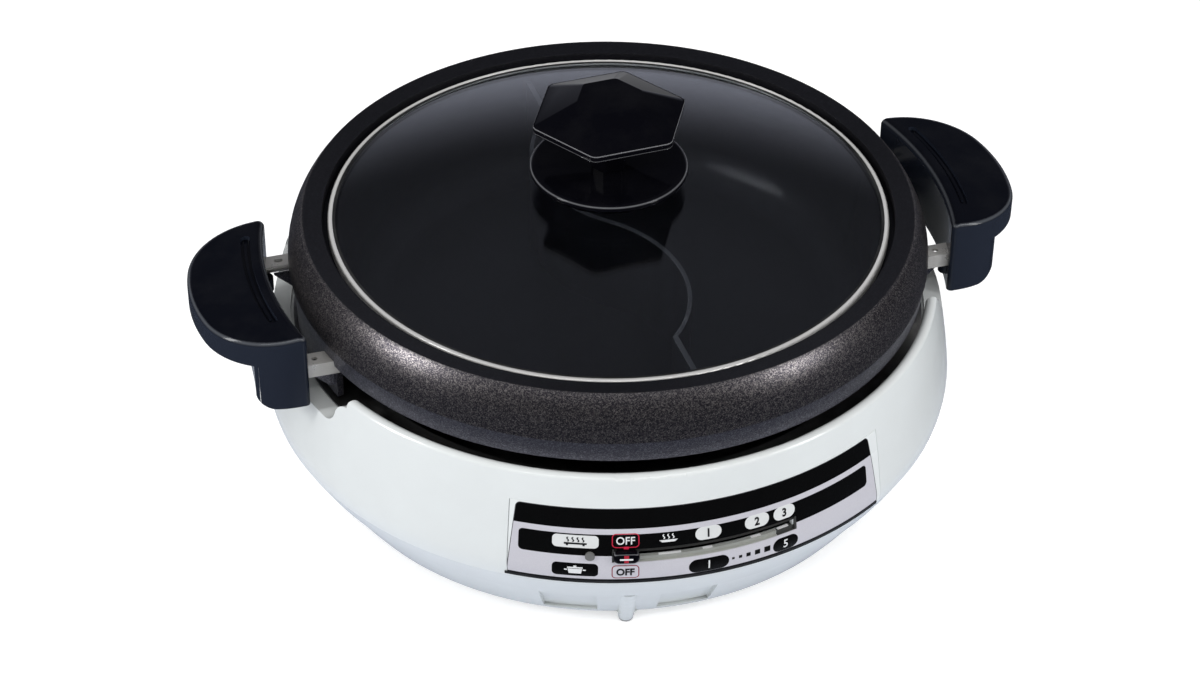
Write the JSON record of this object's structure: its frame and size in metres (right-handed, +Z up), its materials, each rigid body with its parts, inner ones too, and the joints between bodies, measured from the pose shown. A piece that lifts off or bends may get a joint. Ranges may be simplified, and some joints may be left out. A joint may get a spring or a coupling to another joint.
{
  "type": "electric hot pot with lid",
  "caption": "Electric hot pot: white heating base with a sliding heat control, divided pan with side handles, and a lift-off glass lid with a faceted knob.",
  "frame": {"origin": "centre of the feet's circle, on the surface that the feet stand on", "axes": "+Z up, +X along the two handles to the right, front with the control panel towards -Y"},
  "size_m": [0.4544, 0.3752, 0.226],
  "materials": {
    "clear_glass": "clear",
    "steel_band": "brushed",
    "soft_seal": "matt",
    "knob_black": "gloss",
    "handle_black": "gloss",
    "pan_coating": "dark metallic non-stick",
    "arm_steel": "satin",
    "fastener_steel": "satin",
    "pearl_white": "gloss",
    "panel_silver": "satin",
    "lens_grey": "gloss",
    "lamp_glass": "clear",
    "shield_steel": "bright",
    "heater_sheath": "dull",
    "sensor_aluminium": "satin",
    "spring_steel": "bright",
    "lever_black": "matt",
    "thermostat_brown": "matt",
    "brass": "satin",
    "cover_white": "matt",
    "pad_rubber": "matt",
    "inlet_black": "matt",
    "seal_white": "matt"
  },
  "bodies": {
    "base": {"outer_housing": "pearl_white", "control_panel": "panel_silver", "indicator_lens": "lens_grey", "indicator_lamp": "lamp_glass", "heat_shield": "shield_steel", "shield_screws": "fastener_steel", "heating_element": "heater_sheath", "heater_supports": "fastener_steel", "sensor_sleeve": "fastener_steel", "lever_pivot": "fastener_steel", "thermostat": "thermostat_brown", "thermostat_bracket": "fastener_steel", "bottom_cover": "cover_white", "cover_screws": "fastener_steel", "foot_pad_1": "pad_rubber", "foot_pad_2": "pad_rubber", "foot_pad_3": "pad_rubber", "foot_pad_4": "pad_rubber", "inlet_socket": "inlet_black", "contact_pin_1": "brass", "contact_pin_2": "brass", "inlet_latch_plate": "fastener_steel", "lamp_holder": "inlet_black", "heater_seals": "seal_white"},
    "pan": {"cooking_pan": "pan_coating", "left_handle": "handle_black", "left_handle_cover": "handle_black", "left_front_arm": "arm_steel", "left_rear_arm": "arm_steel", "left_arm_rivets": "fastener_steel", "right_handle": "handle_black", "right_handle_cover": "handle_black", "right_front_arm": "arm_steel", "right_rear_arm": "arm_steel", "right_arm_rivets": "fastener_steel", "left_handle_screws": "fastener_steel", "right_handle_screws": "fastener_steel"},
    "lid": {"lid_glass": "clear_glass", "lid_rim": "steel_band", "lid_seal": "soft_seal", "knob_base": "knob_black", "lid_knob": "knob_black", "knob_washer": "soft_seal", "knob_gasket": "soft_seal", "knob_screw": "fastener_steel"},
    "lever": {"control_lever": "lever_black", "slider_knob": "knob_black"},
    "pinion": {"thermostat_pinion": "brass"},
    "sensor": {"sensor_cap": "sensor_aluminium", "sensor_spring": "spring_steel"}
  },
  "joints": [
    {"name": "pan_lift", "type": "slide", "parent": "base", "child": "pan", "axis": [0, 0, 1], "range_m": [0, 0.15]},
    {"name": "lid_lift", "type": "slide", "parent": "pan", "child": "lid", "axis": [0, 0, 1], "range_m": [0, 0.15]},
    {"name": "heat_control", "type": "hinge", "parent": "base", "child": "lever", "pos_m": [0, 0, 0.033], "axis": [0, 0, 1], "range_deg": [0, 26]},
    {"name": "thermostat_turn", "type": "hinge", "parent": "base", "child": "pinion", "pos_m": [0.08485, -0.10112, 0.033], "axis": [0, 0, 1], "range_deg": [-260, 0]},
    {"name": "sensor_press", "type": "slide", "parent": "base", "child": "sensor", "axis": [0, 0, 1], "range_m": [-0.002, 0], "stiffness_N_per_m": 500, "springref_m": 0.002, "deforming": ["sensor_spring"]}
  ],
  "couplings": [
    {"joint": "thermostat_turn", "follows": "heat_control", "ratio": -10}
  ]
}
